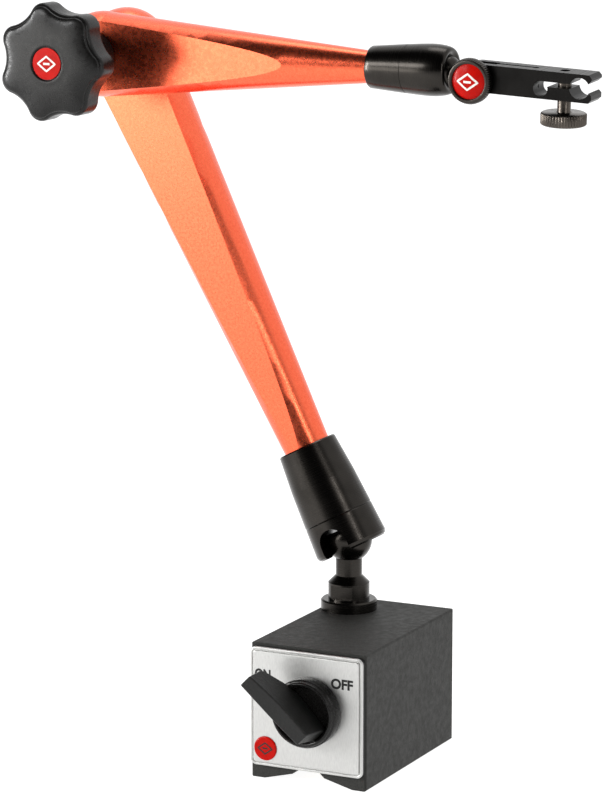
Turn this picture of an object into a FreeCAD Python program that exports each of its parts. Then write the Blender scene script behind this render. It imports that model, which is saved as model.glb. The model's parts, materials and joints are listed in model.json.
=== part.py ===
"""Articulated indicator stand: a switchable magnetic base, a ball-jointed two-part arm and a clamp bar.

Millimetres. The origin is the centre of the base's footprint, in the plane of its two feet.
+X runs along the switch plate to its OFF side, +Y from the switch plate to the back, and +Z is up.
"""
import FreeCAD, Part
import math
import os
import re
import Sketcher

V = FreeCAD.Vector
X_AXIS, Y_AXIS, Z_AXIS = V(1, 0, 0), V(0, 1, 0), V(0, 0, 1)
os.makedirs("parts", exist_ok=True)
doc = FreeCAD.newDocument("indicator_stand")

# ---------------------------------------------------------------- driving dimensions
DIMENSIONS = {
    # magnetic base
    "base_width": 50.6, "base_depth": 84.0, "base_height": 55.5, "base_edge": 0.9,
    "divider_width": 6.0, "foot_width": 6.0, "vee_height": 3.2, "slot_half": 4.5, "slot_step": 7.0,
    "slot_height": 5.5, "switch_x": 1.65, "switch_z": 30.95, "bore_radius": 15.0, "end_plug_length": 5.0,
    # switch and rotor
    "running_gap": 0.08, "rotor_shaft_radius": 6.0, "magnet_thickness": 11.0, "rotor_cap_length": 2.0,
    "plate_width": 49.5, "plate_bottom": 5.7, "plate_height": 48.6, "plate_corner": 2.5,
    "gasket_thickness": 1.5, "plate_thickness": 1.1, "plate_bevel": 1.6, "plate_bevel_depth": 0.6,
    "plate_hole_radius": 6.6,
    "dial_radius": 13.9, "dial_length": 7.6, "pocket_radius": 11.0, "pocket_depth": 3.4,
    "dial_gap": 0.3, "pin_radius": 1.25, "pin_circle": 10.4, "pin_depth": 2.0, "pin_angle": 200.0,
    "lever_angle": 44.7, "lever_tip": 24.0, "lever_waist": 7.0, "lever_heel": 9.1, "lever_heel_height": 12.2,
    "lever_tip_height": 16.8, "lever_tip_back": 7.0, "lever_tip_half": 3.0, "lever_waist_half": 4.1,
    "lever_heel_half": 3.8, "lever_taper": 2.0, "lever_corner": 1.5,
    "badge_thickness": 0.5, "plate_badge_radius": 4.94, "plate_badge_x": -17.7, "plate_badge_z": 13.1,
    # post and lower ball
    "post_x": -13.85, "post_y": 24.0, "collar_radius": 11.55, "collar_height": 4.4, "stud_radius": 8.5,
    "stud_height": 6.9, "stud_cone_height": 3.0, "stud_flat": 7.0, "neck_radius": 5.42,
    "neck_top": 77.0, "stud_thread_radius": 4.0, "stud_thread_length": 11.0,
    "lower_ball_radius": 9.5, "lower_ball_z": 84.7, "lower_pin_radius": 4.0, "ball_gap": 0.1,
    # lower arm, measured from the lower ball's centre along the arm
    "lean_angle": 27.4, "lower_length": 221.5, "lower_root_radius": 7.79, "lower_slope": 0.0439,
    "arm_half": 9.6, "elbow_radius": 17.5, "lower_sleeve_start": -4.0, "lower_seam": 10.6,
    "lower_sleeve_end": 42.0, "lower_sleeve_r0": 15.3, "lower_sleeve_r1": 14.65, "lower_sleeve_r2": 12.35,
    "lower_sleeve_middle": 26.0, "lower_sleeve_rm": 13.8, "lower_mouth_radius": 10.8, "lower_mouth_depth": 1.5,
    "lower_notch_half": 6.15, "lower_notch_top": 0.8, "lower_spigot_radius": 9.52, "lower_spigot_start": 20.0,
    "lower_rod_radius": 2.5, "rod_bore_radius": 2.9,
    # elbow
    "elbow_gap": 0.3, "bolt_radius": 5.0, "bolt_bore_radius": 5.08, "washer_radius": 12.0,
    "washer_recess": 0.6, "nut_radius": 8.0, "nut_length": 7.0, "rear_cap_radius": 10.0, "rod_stop": 8.0,
    # upper arm, measured from the elbow axis along the arm
    "upper_y": 4.5, "upper_root_radius": 17.45, "upper_slope": 0.0918, "upper_tip": 120.4,
    "upper_sleeve_end": 155.2, "upper_sleeve_r0": 8.4, "upper_sleeve_r1": 10.3, "upper_sleeve_r2": 9.5,
    "upper_sleeve_wide": 147.5, "upper_ball_at": 152.3, "upper_ball_radius": 6.5,
    "upper_mouth_radius": 7.3, "upper_mouth_depth": 1.2,
    "upper_spigot_radius": 6.52, "upper_pin_radius": 2.2,
    # star knob
    "knob_outer": 24.1, "knob_waist": 20.6, "knob_lobe_radius": 5.6, "knob_face_y": -42.5,
    "knob_rim": 12.0, "knob_dome": 1.8, "knob_dome_radius": 18.0, "knob_hub_radius": 11.0, "knob_edge": 1.6,
    "knob_recess": 0.9, "knob_badge_radius": 6.45,
    "knob_turn": -2.5, "knob_insert_radius": 7.0,
    # upper stud and clamp bar, whose frame has its origin at the clamp pivot
    "stud_droop": 6.9, "stud_reach": 14.0, "upper_neck_radius": 3.7, "tongue_half": 2.0, "tongue_radius": 4.8,
    "neck_stop": 6.6,
    "bar_pitch": 2.8, "bar_roll": 3.5, "bar_rise": 1.0, "bar_half": 5.3, "bar_half_height": 5.5, "bar_end": 49.6,
    "bar_corner": 1.3, "fork_half": 2.1, "fork_end": 8.5, "flexure_half": 0.8, "flexure_end": 24.4,
    "flexure_hole": 1.2, "small_hole_x": 28.5, "small_hole_z": -1.6, "small_hole_radius": 3.0,
    "clamp_screw_x": 36.5, "stem_hole_x": 44.6, "stem_radius": 4.15, "slit_half": 1.0, "slit_z": 0.4,
    "mouth_depth": 2.0,
    "pivot_radius": 2.5, "pivot_bore_radius": 2.55, "pivot_knob_radius": 9.0, "pivot_knob_length": 4.4,
    "pivot_badge_radius": 6.95, "pivot_badge_recess": 0.8,
    "thumb_radius": 2.65, "thumb_bore_radius": 2.7, "thumb_thread_radius": 1.9, "thumb_thread_bore": 1.95,
    "thumb_head_radius": 9.0, "thumb_head_length": 4.9, "thumb_gap": 5.0, "thumb_sunk": 0.8,
}

sheet = doc.addObject("Spreadsheet::Sheet", "dims")
for row, (alias, number) in enumerate(DIMENSIONS.items(), start=1):
    sheet.set(f"A{row}", alias)
    sheet.set(f"B{row}", str(number))
    sheet.setAlias(f"B{row}", alias)
doc.recompute()


def dim(alias):
    """One number from the sheet."""
    return float(sheet.get(alias))


def formula(text):
    """An expression with each alias in it read from the sheet."""
    return re.sub(r"[a-z][a-z0-9_]*", lambda m: "dims." + m[0] if m[0] in DIMENSIONS else m[0], str(text))


# ---------------------------------------------------------------- making and placing objects
def bind(thing, **formulas):
    for name, text in formulas.items():
        thing.setExpression(name, formula(text))
    return thing


def toward(direction):
    """The rotation that turns +Z to a direction."""
    return FreeCAD.Rotation(Z_AXIS, V(*direction))


def put(thing, at=(0, 0, 0), direction=(0, 0, 1)):
    thing.Placement = FreeCAD.Placement(V(0, 0, 0), toward(direction))
    for axis, text in zip("xyz", at):
        thing.setExpression("Placement.Base." + axis, formula(text))
    return thing


def box(name, size, at):
    length, width, height = size
    return put(bind(doc.addObject("Part::Box", name), Length=length, Width=width, Height=height), at)


def rod(name, radius, height, at=(0, 0, 0), direction=(0, 0, 1), angle=360):
    thing = bind(doc.addObject("Part::Cylinder", name), Radius=radius, Height=height, Angle=angle)
    return put(thing, at, direction)


def taper(name, first, last, height, at=(0, 0, 0), direction=(0, 0, 1)):
    return put(bind(doc.addObject("Part::Cone", name), Radius1=first, Radius2=last, Height=height), at, direction)


def ball(name, radius, at=(0, 0, 0)):
    return put(bind(doc.addObject("Part::Sphere", name), Radius=radius), at)


def fuse(name, *things):
    joined = doc.addObject("Part::MultiFuse", name)
    joined.Shapes = list(things)
    joined.Refine = True
    return joined


def cut(name, base, *tools):
    carved = doc.addObject("Part::Cut", name)
    carved.Base = base
    carved.Tool = tools[0] if len(tools) == 1 else fuse(name + "_tools", *tools)
    carved.Refine = True
    return carved


def common(name, *things):
    kept = doc.addObject("Part::MultiCommon", name)
    kept.Shapes = list(things)
    kept.Refine = True
    return kept


def origin_plane(body, role):
    return next(feature for feature in body.Origin.OriginFeatures if feature.Role == role)


def outline_sketch(body, plane, points, name):
    """A closed outline on an origin plane, each corner held at two formulas."""
    sketch = body.newObject("Sketcher::SketchObject", name)
    sketch.AttachmentSupport = (origin_plane(body, plane), "")
    sketch.MapMode = "FlatFace"
    values = [tuple(float(sheet_value(text)) for text in point) for point in points]
    count = len(points)
    for here in range(count):
        start, end = values[here], values[(here + 1) % count]
        sketch.addGeometry(Part.LineSegment(V(*start, 0), V(*end, 0)), False)
    for here in range(count):
        sketch.addConstraint(Sketcher.Constraint("Coincident", here, 2, (here + 1) % count, 1))
    for here, (across, along) in enumerate(points):
        for kind, text, number in (("DistanceX", across, values[here][0]), ("DistanceY", along, values[here][1])):
            index = sketch.addConstraint(Sketcher.Constraint(kind, -1, 1, here, 1, number))
            sketch.setExpression(f"Constraints[{index}]", formula(text))
    return sketch


def sheet_value(text):
    """A formula's number now, worked out by the sheet's own spare cell."""
    sheet.set("D1", "=" + re.sub(r"dims\.", "", formula(text)))
    doc.recompute([sheet])
    return sheet.get("D1")


def turned(name, outline, at=(0, 0, 0), direction=(0, 0, 1)):
    """A lathe part: (radius, height) corners revolved about the local Z axis."""
    body = doc.addObject("PartDesign::Body", name)
    sketch = outline_sketch(body, "XZ_Plane", outline, name + "_profile")
    spin = body.newObject("PartDesign::Revolution", name + "_turn")
    spin.Profile = sketch
    spin.ReferenceAxis = (sketch, ["V_Axis"])
    spin.Angle = 360.0
    return put(body, at, direction)


def padded(name, plane, outline, length, both_ways=True, taper_angle=None):
    """A prism on one origin plane, half each way or to the plane's front."""
    body = doc.addObject("PartDesign::Body", name)
    pad = body.newObject("PartDesign::Pad", name + "_pad")
    pad.Profile = outline_sketch(body, plane, outline, name + "_outline")
    pad.SideType = "Symmetric" if both_ways else "One side"
    bind(pad, Length=length)
    if taper_angle is not None:
        bind(pad, TaperAngle=taper_angle)
    return body


def edges_where(shape, wanted):
    """The names of the edges whose two ends both satisfy a test."""
    names = []
    for number, edge in enumerate(shape.Edges, start=1):
        ends = [vertex.Point for vertex in edge.Vertexes]
        if len(ends) == 2 and all(wanted(point) for point in ends):
            names.append(f"Edge{number}")
    return names


def soften(body, wanted, radius, kind="PartDesign::Fillet", size="Radius"):
    """Round or bevel the body's edges whose end points satisfy a test."""
    doc.recompute()
    solid = body.Tip
    names = edges_where(solid.Shape, wanted)
    dress = body.newObject(kind, solid.Name + "_" + size.lower())
    dress.Base = (solid, names)
    dress.setExpression(size, formula(radius))
    return dress


PIECES = {}


def piece(name, thing, frame=None):
    """Register a finished sub-part; a frame carries it from its own coordinates to its place."""
    thing.Label = name
    if frame is not None:
        doc.recompute()
        local = thing.Placement
        for axis in "xyz":
            thing.setExpression("Placement.Base." + axis, None)
        thing.Placement = frame.multiply(local)
    PIECES[name] = thing


# ---------------------------------------------------------------- frames of the arm's stages
def frame_at(point, rotation):
    return FreeCAD.Placement(V(*point), rotation)


LEAN = math.radians(dim("lean_angle"))
ELBOW_X = dim("post_x") - dim("lower_length") * math.sin(LEAN)
ELBOW_Z = dim("lower_ball_z") + dim("lower_length") * math.cos(LEAN)
LOWER = frame_at((dim("post_x"), dim("post_y"), dim("lower_ball_z")), FreeCAD.Rotation(Y_AXIS, -dim("lean_angle")))
UPPER = frame_at((ELBOW_X, dim("upper_y"), ELBOW_Z), FreeCAD.Rotation(Y_AXIS, 90))
UPPER_BALL = V(ELBOW_X + dim("upper_ball_at"), dim("upper_y"), ELBOW_Z)
BAR_TURN = FreeCAD.Rotation(Y_AXIS, dim("bar_pitch")).multiply(FreeCAD.Rotation(X_AXIS, dim("bar_roll")))
STUD = FreeCAD.Placement(UPPER_BALL, BAR_TURN.multiply(FreeCAD.Rotation(Y_AXIS, 90 + dim("stud_droop"))))
PIVOT = STUD.multVec(V(0, 0, dim("stud_reach")))
CLAMP = FreeCAD.Placement(PIVOT, BAR_TURN)
BAR = CLAMP.multiply(FreeCAD.Placement(V(0, 0, dim("bar_rise")), FreeCAD.Rotation()))
FRONT = (0, -1, 0)
BACK = (0, 1, 0)


# ---------------------------------------------------------------- magnetic base
def base_half(side):
    """One iron pole: half the block, with its foot, its side of the vee and its side of the rotor bore."""
    name = "pole_right" if side > 0 else "pole_left"
    sign = "" if side > 0 else "-"
    corners = [
        ("divider_width / 2", "base_height"), ("base_width / 2", "base_height"), ("base_width / 2", "0"),
        ("base_width / 2 - foot_width", "0"), ("slot_step", "vee_height"), ("slot_half", "slot_height"),
        ("divider_width / 2", "slot_height"),
    ]
    outline = [(f"{sign}({across})", along) for across, along in corners]
    block = padded(name + "_block", "XZ_Plane", outline, "base_depth")
    outer, low, high = side * dim("base_width") / 2, 0.0, dim("base_height")
    soften(block, lambda p: abs(p.x - outer) < 0.01 and min(abs(p.z - low), abs(p.z - high)) < 0.01, "base_edge")
    bore = rod(name + "_bore", "bore_radius", "base_depth", ("switch_x", "-base_depth / 2", "switch_z"), BACK)
    tools = [bore]
    if side < 0:
        tools.append(rod(name + "_thread", "stud_thread_radius", "stud_thread_length + 1",
                         ("post_x", "post_y", "base_height - stud_thread_length")))
    piece(name, cut(name + "_bored", block, *tools))


def dividers():
    """Two brass strips that part the poles above and below the rotor."""
    for name, low, high in (("divider_upper", "switch_z", "base_height"), ("divider_lower", "slot_height", "switch_z")):
        strip = box(name + "_strip", ("divider_width", "base_depth", f"{high} - {low}"),
                    ("-divider_width / 2", "-base_depth / 2", low))
        bore = rod(name + "_bore", "bore_radius", "base_depth", ("switch_x", "-base_depth / 2", "switch_z"), BACK)
        piece(name, cut(name + "_bored", strip, bore))


def bore_ends():
    """The front bush that carries the rotor's shaft, and the plug that closes the bore at the back."""
    bush = [("rotor_shaft_radius + running_gap", "0"), ("bore_radius", "0"),
            ("bore_radius", "end_plug_length"), ("rotor_shaft_radius + running_gap", "end_plug_length")]
    piece("front_bush", turned("front_bush_ring", bush, ("switch_x", "-base_depth / 2", "switch_z"), BACK))
    plug = [("0", "0"), ("bore_radius", "0"), ("bore_radius", "end_plug_length"),
            ("rotor_shaft_radius + running_gap", "end_plug_length"),
            ("rotor_shaft_radius + running_gap", "end_plug_length - 3.2"), ("0", "end_plug_length - 3.2")]
    piece("rear_plug", turned("rear_plug_disc", plug, ("switch_x", "base_depth / 2", "switch_z"), FRONT))


def rotor():
    """A slab magnet between two iron shoes, with a trunnion at each end."""
    half = "base_depth / 2 - end_plug_length - 0.2"
    core = "(" + half + " - rotor_cap_length)"
    for name, low, wide in (("rotor_shoe_left", "-bore_radius", "bore_radius - magnet_thickness / 2"),
                            ("rotor_magnet", "-magnet_thickness / 2", "magnet_thickness"),
                            ("rotor_shoe_right", "magnet_thickness / 2", "bore_radius - magnet_thickness / 2")):
        slab = box(name + "_slab", (wide, f"2 * {core}", "2 * bore_radius"),
                   (f"switch_x + {low}", f"-{core}", "switch_z - bore_radius"))
        drum = rod(name + "_drum", "bore_radius - running_gap", f"2 * {core}", ("switch_x", f"-{core}", "switch_z"), BACK)
        piece(name, common(name + "_core", slab, drum))
    front_reach = "base_depth / 2 + gasket_thickness + plate_thickness + dial_length - pocket_depth"
    front = [("0", core), ("bore_radius - running_gap", core), ("bore_radius - running_gap", half),
             ("rotor_shaft_radius", half), ("rotor_shaft_radius", front_reach), ("0", front_reach)]
    piece("rotor_front_shaft", turned("rotor_front", front, ("switch_x", "0", "switch_z"), FRONT))
    rear_reach = "base_depth / 2 - end_plug_length + 3"
    rear = [("0", core), ("bore_radius - running_gap", core), ("bore_radius - running_gap", half),
            ("rotor_shaft_radius", half), ("rotor_shaft_radius", rear_reach), ("0", rear_reach)]
    piece("rotor_rear_shaft", turned("rotor_rear", rear, ("switch_x", "0", "switch_z"), BACK))


def front_sheet(name, thickness, face, bevel=None):
    """A round-cornered sheet on the front of the base, with the shaft's hole."""
    half, low = "plate_width / 2", "plate_bottom"
    high = "plate_bottom + plate_height"
    outline = [(f"-{half}", low), (half, low), (half, high), (f"-{half}", high)]
    body = padded(name + "_sheet", "XZ_Plane", outline, thickness)
    depth = dim(thickness) / 2
    doc.recompute()
    flat = body.Tip
    corners = [f"Edge{number}" for number, edge in enumerate(flat.Shape.Edges, start=1)
               if abs(edge.Vertexes[0].Y - edge.Vertexes[1].Y) > depth]
    rounded = body.newObject("PartDesign::Fillet", name + "_corners")
    rounded.Base = (flat, corners)
    bind(rounded, Radius="plate_corner")
    if bevel:
        slope = soften(body, lambda point: abs(point.y + depth) < 0.001, bevel, "PartDesign::Chamfer", "Size")
        slope.ChamferType = "Two distances"
        slope.FlipDirection = True
        bind(slope, Size2="plate_bevel_depth")
    bind(body, **{"Placement.Base.y": f"{face} + {thickness} / 2"})
    shaft = rod(name + "_hole", "plate_hole_radius", f"{thickness} + 2", ("switch_x", f"{face} - 1", "switch_z"), BACK)
    pin = stop_rod(name + "_pin_hole")
    return cut(name + "_bored", body, shaft, pin)


def stop_rod(name):
    """The stop pin's cylinder: pressed through gasket and plate, and standing into the dial's groove."""
    angle = math.radians(dim("pin_angle"))
    x = f"switch_x + pin_circle * {math.cos(angle):.6f}"
    z = f"switch_z + pin_circle * {math.sin(angle):.6f}"
    front = "-(base_depth / 2 + gasket_thickness + plate_thickness + pin_depth)"
    return rod(name, "pin_radius", "gasket_thickness + plate_thickness + pin_depth", (x, front, z), BACK)


def plates():
    gasket_face = "-(base_depth / 2 + gasket_thickness)"
    plate_face = "-(base_depth / 2 + gasket_thickness + plate_thickness)"
    piece("plate_gasket", front_sheet("gasket", "gasket_thickness", gasket_face))
    piece("switch_plate", front_sheet("plate", "plate_thickness", plate_face, "plate_bevel"))
    piece("stop_pin", stop_rod("stop_pin_rod"))
    badge = [("0", "0"), ("plate_badge_radius", "0"), ("plate_badge_radius", "badge_thickness * 0.6"),
             ("plate_badge_radius - 0.5", "badge_thickness"), ("0", "badge_thickness")]
    place = ("plate_badge_x", plate_face, "plate_badge_z")
    piece("plate_badge", turned("plate_badge_disc", badge, place, FRONT))


def switch():
    """The dial and its lever, fixed on the rotor's front shaft."""
    back = "-(base_depth / 2 + gasket_thickness + plate_thickness + dial_gap)"
    rim = "rotor_shaft_radius"
    face, floor = "dial_length - dial_gap", "dial_length - dial_gap - pocket_depth"
    profile = [(rim, "0"), ("dial_radius - 0.3", "0"), ("dial_radius", "0.3"), ("dial_radius", f"{face} - 0.5"),
               ("dial_radius - 0.5", face), ("pocket_radius + 0.3", face), ("pocket_radius", f"{face} - 0.3"),
               ("pocket_radius", floor), (rim, floor)]
    disc = turned("dial_disc", profile, ("switch_x", back, "switch_z"), FRONT)
    slack = math.degrees(math.asin((dim("pin_radius") + 0.3) / dim("pin_circle")))
    groove_depth = "pin_depth - dial_gap + 0.4"
    outer = rod("groove_outer", "pin_circle + pin_radius + 0.25", groove_depth, angle=f"90 + {2 * slack:.4f}")
    inner = rod("groove_inner", "pin_circle - pin_radius - 0.25", groove_depth)
    groove = cut("groove", outer, inner)
    # local X points along the groove's first edge and local Z to the front
    first = math.radians(dim("pin_angle") - slack)
    edge_x = V(math.cos(first), 0, math.sin(first))
    front = V(*FRONT)
    groove.Placement = FreeCAD.Placement(
        V(dim("switch_x"), float(sheet_value(back)), dim("switch_z")), FreeCAD.Rotation(edge_x, V(0, 0, 0), front, "ZXY"))
    piece("switch_dial", cut("dial_grooved", disc, groove))
    plan = [("-lever_tip", "-lever_tip_half"), ("-lever_waist", "-lever_waist_half"), ("lever_heel", "-lever_heel_half"),
            ("lever_heel", "lever_heel_half"), ("-lever_waist", "lever_waist_half"), ("-lever_tip", "lever_tip_half")]
    blank = padded("lever_plan", "XZ_Plane", plan, "lever_tip_height + 1", both_ways=False, taper_angle="-lever_taper")
    soften(blank, lambda point: abs(point.x + dim("lever_tip")) < 1.0 and abs(point.z) > 1.0, "lever_corner")
    # the lever leans forward, away from the plate, towards its tip
    side = [("lever_heel + 1", "0"), ("lever_heel + 1", "-lever_heel_height"), ("lever_heel", "-lever_heel_height"),
            ("-lever_tip - 1", "-lever_tip_height"), ("-lever_tip - 1", "-lever_tip_back"), ("1 - dial_radius", "0")]
    bar = common("lever_bar", blank, padded("lever_side", "XY_Plane", side, "4 * lever_waist_half"))
    footing = common("lever_footing", rod("lever_footing_drum", "pocket_radius", "pocket_depth", ("0", "0", "0"), BACK),
                     box("lever_footing_slab", ("2 * pocket_radius", "pocket_depth", "2 * lever_heel_half - 1"),
                         ("-pocket_radius - 3", "0", "-lever_heel_half + 0.5")))
    hub = (dim("switch_x"), float(sheet_value("-(base_depth / 2 + gasket_thickness + plate_thickness + dial_length)")),
           dim("switch_z"))
    piece("switch_lever", fuse("lever_whole", bar, footing),
          frame_at(hub, FreeCAD.Rotation(Y_AXIS, dim("lever_angle"))))


# ---------------------------------------------------------------- post and lower ball joint
def post():
    """A collar under a screwed-in stud with two spanner flats, whose pin carries the ball."""
    place = ("post_x", "post_y", "base_height")
    ring = [("stud_thread_radius", "0"), ("collar_radius", "0"), ("collar_radius", "collar_height - 0.6"),
            ("collar_radius - 0.6", "collar_height"), ("stud_thread_radius", "collar_height")]
    piece("post_collar", turned("collar_ring", ring, place))
    stud = [("0", "-stud_thread_length"), ("stud_thread_radius", "-stud_thread_length"),
            ("stud_thread_radius", "collar_height"), ("stud_radius", "collar_height"),
            ("stud_radius", "collar_height + stud_height"),
            ("neck_radius", "collar_height + stud_height + stud_cone_height"),
            ("neck_radius", "neck_top - base_height"), ("lower_pin_radius", "neck_top - base_height"),
            ("lower_pin_radius", "lower_ball_z + 4 - base_height"), ("0", "lower_ball_z + 4 - base_height")]
    whole = turned("stud_turned", stud, place)
    cuts = []
    for name, y in (("front", "post_y - stud_flat - 5"), ("back", "post_y + stud_flat")):
        cuts.append(box(f"stud_flat_{name}", ("20", "5", "stud_height - 1.4"),
                        ("post_x - 10", y, "base_height + collar_height + 0.7")))
    piece("post_stud", cut("stud_milled", whole, *cuts))


def joint_ball(name, radius, pin_radius, neck_radius, depth):
    """A ball bored to turn on its pin, faced off where the neck meets it; the pin comes from local -Z."""
    face = f"-sqrt({radius} ^ 2 - ({neck_radius} + 0.2) ^ 2)"
    slab = box(name + "_face", (f"2 * {radius}", f"2 * {radius}", radius),
               (f"-({radius})", f"-({radius})", f"{face} - {radius} + 0.1"))
    bore = rod(name + "_bore", f"{pin_radius} + 0.05", f"{radius} + {depth}", ("0", "0", f"-{radius}"))
    return cut(name + "_bored", ball(name + "_sphere", radius), slab, bore)


def lower_joint():
    sphere = joint_ball("lower_ball", "lower_ball_radius", "lower_pin_radius", "neck_radius", "4.2")
    piece("lower_ball", sphere, frame_at((dim("post_x"), dim("post_y"), dim("lower_ball_z")), FreeCAD.Rotation()))
    seat = "lower_ball_radius + ball_gap"
    profile = [(seat, "0"), (seat, "lower_sleeve_end"), ("lower_sleeve_r2 - 0.5", "lower_sleeve_end"),
               ("lower_sleeve_r2", "lower_sleeve_end - 0.5"), ("lower_sleeve_rm", "lower_sleeve_middle"),
               ("lower_sleeve_r1", "lower_seam + 0.3"), ("lower_sleeve_r1 - 0.25", "lower_seam"),
               ("lower_sleeve_r1", "lower_seam - 0.3"), ("lower_sleeve_r0", "lower_sleeve_start + 2"),
               ("lower_sleeve_r0 - 0.5", "lower_sleeve_start + 0.7"), ("lower_sleeve_r0 - 1.5", "lower_sleeve_start"),
               ("lower_mouth_radius", "lower_sleeve_start"), (f"{seat} - 3", "lower_sleeve_start + lower_mouth_depth"),
               (f"{seat} - 3", "0")]
    shell = turned("lower_sleeve_shell", profile)
    socket = ball("lower_socket", seat)
    slot = box("lower_notch_slot", ("2 * lower_notch_half", "20", "8"), ("-lower_notch_half", "-20", "lower_notch_top - 8"))
    arch = rod("lower_notch_arch", "lower_notch_half", "20", ("0", "-20", "lower_notch_top"), BACK)
    piece("lower_sleeve", cut("lower_sleeve_cut", shell, socket, slot, arch), LOWER)
    cup = rod("lower_cup_blank", "lower_ball_radius - 0.2", "8", ("0", "0", "5"))
    piece("lower_ball_seat", cut("lower_cup", cup, ball("lower_cup_hollow", seat)), LOWER)


# ---------------------------------------------------------------- arms and elbow
def arm_blank(name, root, slope, first, last, spigot, spigot_first, widen):
    """A turned cone with two milled flats and a ball-turned elbow end, drawn out to a spigot.

    Local Z runs from the radius named root; widen is + where the cone opens along Z and - where it closes.
    """
    def radius_at(where):
        return f"{root} {widen} {slope} * ({where})"
    cone = taper(name + "_cone", radius_at(first), radius_at(last), f"{last} - {first}", ("0", "0", first))
    elbow_at = last if widen == "+" else first
    elbow = ball(name + "_elbow", "elbow_radius", ("0", "0", elbow_at))
    slab = box(name + "_slab", ("40", "2 * arm_half", "260"), ("-20", "-arm_half", f"{first} - 20"))
    flatted = common(name + "_flatted", fuse(name + "_whole", cone, elbow), slab)
    low = spigot_first if widen == "+" else last
    high = first if widen == "+" else spigot_first
    tail = rod(name + "_spigot", spigot, f"{high} - {low}", ("0", "0", low))
    return fuse(name + "_body", flatted, tail)


def lower_arm():
    blank = arm_blank("lower_arm", "lower_root_radius", "lower_slope", "lower_sleeve_end + 0.2", "lower_length",
                      "lower_spigot_radius", "lower_spigot_start", "+")
    rod_bore = rod("lower_rod_bore", "rod_bore_radius", "lower_length - lower_spigot_start + 1",
                   ("0", "0", "lower_spigot_start - 1"))
    bolt_bore = rod("lower_bolt_bore", "bolt_bore_radius", "2 * arm_half", ("0", "-arm_half", "lower_length"), BACK)
    recess = rod("lower_washer_recess", "washer_radius + 0.1", "washer_recess", ("0", "-arm_half", "lower_length"), BACK)
    nut_bore = rod("lower_nut_bore", "nut_radius", "nut_length + 1.5", ("0", "arm_half - nut_length - 1.5", "lower_length"),
                   BACK)
    cap_bore = rod("lower_cap_bore", "rear_cap_radius", "1.5", ("0", "arm_half - 1.5", "lower_length"), BACK)
    piece("lower_arm", cut("lower_arm_bored", blank, rod_bore, bolt_bore, recess, nut_bore, cap_bore), LOWER)
    reach = "lower_length - rod_stop - 13.3"
    piece("lower_push_rod", rod("lower_rod", "lower_rod_radius", reach, ("0", "0", "13.3")), LOWER)
    nut = cut("elbow_nut_bored",
              rod("elbow_nut_blank", "nut_radius", "nut_length", ("0", "arm_half - nut_length - 1.5", "lower_length"), BACK),
              rod("elbow_nut_bore", "bolt_bore_radius", "nut_length + 2",
                  ("0", "arm_half - nut_length - 2", "lower_length"), BACK))
    piece("elbow_nut", nut, LOWER)
    piece("elbow_rear_cap", rod("rear_cap_disc", "rear_cap_radius", "1.5", ("0", "arm_half - 1.5", "lower_length"), BACK),
          LOWER)
    wide = rod("washer_blank", "washer_radius", "2 * washer_recess + elbow_gap - 0.1",
               ("0", "-arm_half - elbow_gap - washer_recess + 0.1", "lower_length"), BACK)
    hole = rod("washer_hole", "bolt_bore_radius", "10", ("0", "-arm_half - 5", "lower_length"), BACK)
    piece("elbow_washer", cut("washer_ring", wide, hole), LOWER)


def upper_arm():
    blank = arm_blank("upper_arm", "upper_root_radius", "upper_slope", "0", "upper_tip",
                      "upper_spigot_radius", "upper_tip + 18", "-")
    rod_bore = rod("upper_rod_bore", "rod_bore_radius - 1", "upper_tip + 20", ("0", "0", "0"))
    bolt_bore = rod("upper_bolt_bore", "bolt_bore_radius", "2 * arm_half", ("0", "-arm_half", "0"), BACK)
    recess = rod("upper_washer_recess", "washer_radius + 0.1", "washer_recess", ("0", "arm_half - washer_recess", "0"), BACK)
    piece("upper_arm", cut("upper_arm_bored", blank, rod_bore, bolt_bore, recess), UPPER)
    reach = "upper_ball_at - 11.3 - rod_stop"
    piece("upper_push_rod", rod("upper_rod", "lower_rod_radius - 1", reach, ("0", "0", "rod_stop")), UPPER)


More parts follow.
